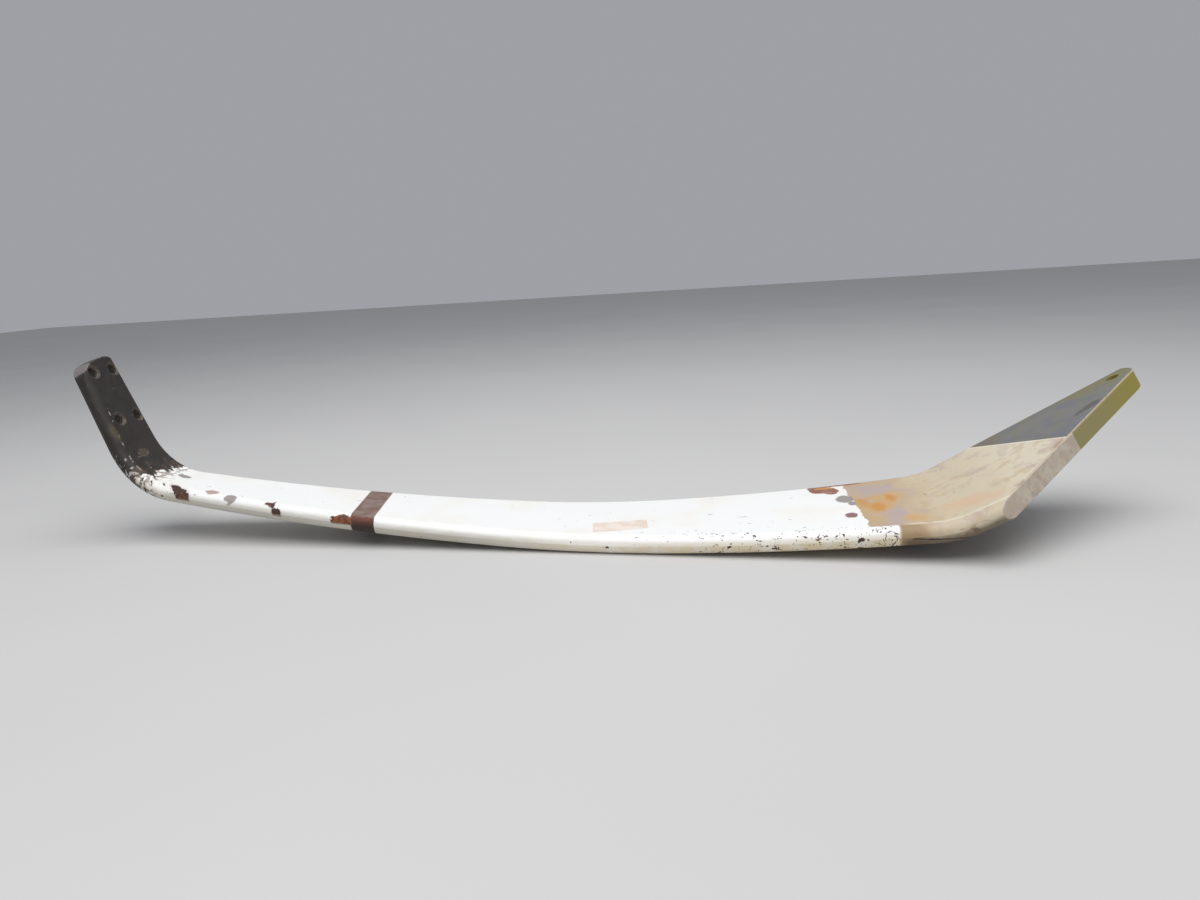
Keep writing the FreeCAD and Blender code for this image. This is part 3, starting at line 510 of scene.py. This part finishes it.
# --- The tape strip -----------------------------------------------------------------------------
# A strip of aged paper tape, stuck by hand on the leg's upper face and left blank. It has
# yellowed unevenly, and its fibres show.
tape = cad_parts["tape_strip"]
tape_finish = bpy.data.materials.new("aged_tape")
TAPE_PALE = tone(240, 228, 218)
TAPE_DULL = tone(226, 208, 192)
tree = open_tree(tape_finish)
metres = tree.node("TexCoord", {}, {}, out="Object")
fibres = grain(metres, 0.9, 3, seed=11, stretch=(5, 1, 1))
fading = grain(metres, 12, 3, seed=12)
colour = coat(TAPE_PALE, TAPE_DULL, step(fading, 0.35, 0.7))
colour = coat(colour, TAPE_DULL, step(fibres, 0.55, 0.8) * 0.6)
bump = tree.node("Bump", {}, {"Strength": 0.4, "Distance": 0.0002, "Height": fibres + fading})
close_tree(tree, {"Base Color": colour, "Roughness": 0.55 + 0.15 * fibres, "Normal": bump})
tape.data.materials.clear()
tape.data.materials.append(tape_finish)

# --- The floor and the studio -------------------------------------------------------------------
# A plain pale floor that carries the leg, a broad soft light overhead and a dim even surround.
FLOOR_SIZE = 12
bpy.ops.mesh.primitive_plane_add(size=FLOOR_SIZE)
floor = bpy.context.object
floor.name = "floor"
floor_finish = bpy.data.materials.new("pale_floor")
FLOOR_PALE = tone(206, 205, 203)
FLOOR_GREY = tone(198, 197, 196)
tree = open_tree(floor_finish)
metres = tree.node("TexCoord", {}, {}, out="Object")
clouded = grain(metres, 400, 2, seed=21)
FLOOR_ROUGHNESS = 0.9
floor_colour = coat(FLOOR_PALE, FLOOR_GREY, clouded)
close_tree(tree, {"Base Color": floor_colour, "Roughness": FLOOR_ROUGHNESS})
floor.data.materials.append(floor_finish)

world = bpy.data.worlds.new("studio")
bpy.context.scene.world = world
world.use_nodes = True
SURROUND_COLOUR = (0.9, 0.93, 1, 1)
SURROUND_STRENGTH = 0.38
surround = world.node_tree.nodes["Background"].inputs
surround["Color"].default_value = SURROUND_COLOUR
surround["Strength"].default_value = SURROUND_STRENGTH


def soft_light(name, at, towards, width, power):
    """A square lamp, wide enough for soft shadows, aimed at a point."""
    lamp = bpy.data.objects.new(name, bpy.data.lights.new(name, "AREA"))
    bpy.context.scene.collection.objects.link(lamp)
    lamp.data.size = width
    lamp.data.energy = power
    lamp.location = at
    way = Vector(towards) - Vector(at)
    lamp.rotation_euler = way.to_track_quat("-Z", "Y").to_euler()
    return lamp


OVERHEAD_AT = (0.1, -0.5, 2.0)
OVERHEAD_WIDTH = 2.2
OVERHEAD_POWER = 45
soft_light("overhead", OVERHEAD_AT, (0, 0, 0), OVERHEAD_WIDTH, OVERHEAD_POWER)
bpy.context.scene.view_settings.view_transform = "Standard"

# --- The camera ---------------------------------------------------------------------------------
# It stands low in front of the leg's near edge, about a quarter of a metre over the floor. It looks
# down a little, and is turned and rolled slightly.
PITCH, TURN, ROLL = 12.801, 9.719, -3.828
CAMERA_AT = (0.16658, -0.76612, 0.26394)
SENSOR_WIDTH = 36
LENS = 24.883
UPRIGHT = 90
camera = bpy.data.objects.new("camera", bpy.data.cameras.new("camera"))
bpy.context.scene.collection.objects.link(camera)
camera.matrix_world = (
    Matrix.Translation(CAMERA_AT)
    @ Matrix.Rotation(math.radians(TURN), 4, "Z")
    @ Matrix.Rotation(math.radians(UPRIGHT - PITCH), 4, "X")
    @ Matrix.Rotation(math.radians(ROLL), 4, "Z")
)
camera.data.sensor_width = SENSOR_WIDTH
camera.data.lens = LENS
bpy.context.scene.camera = camera
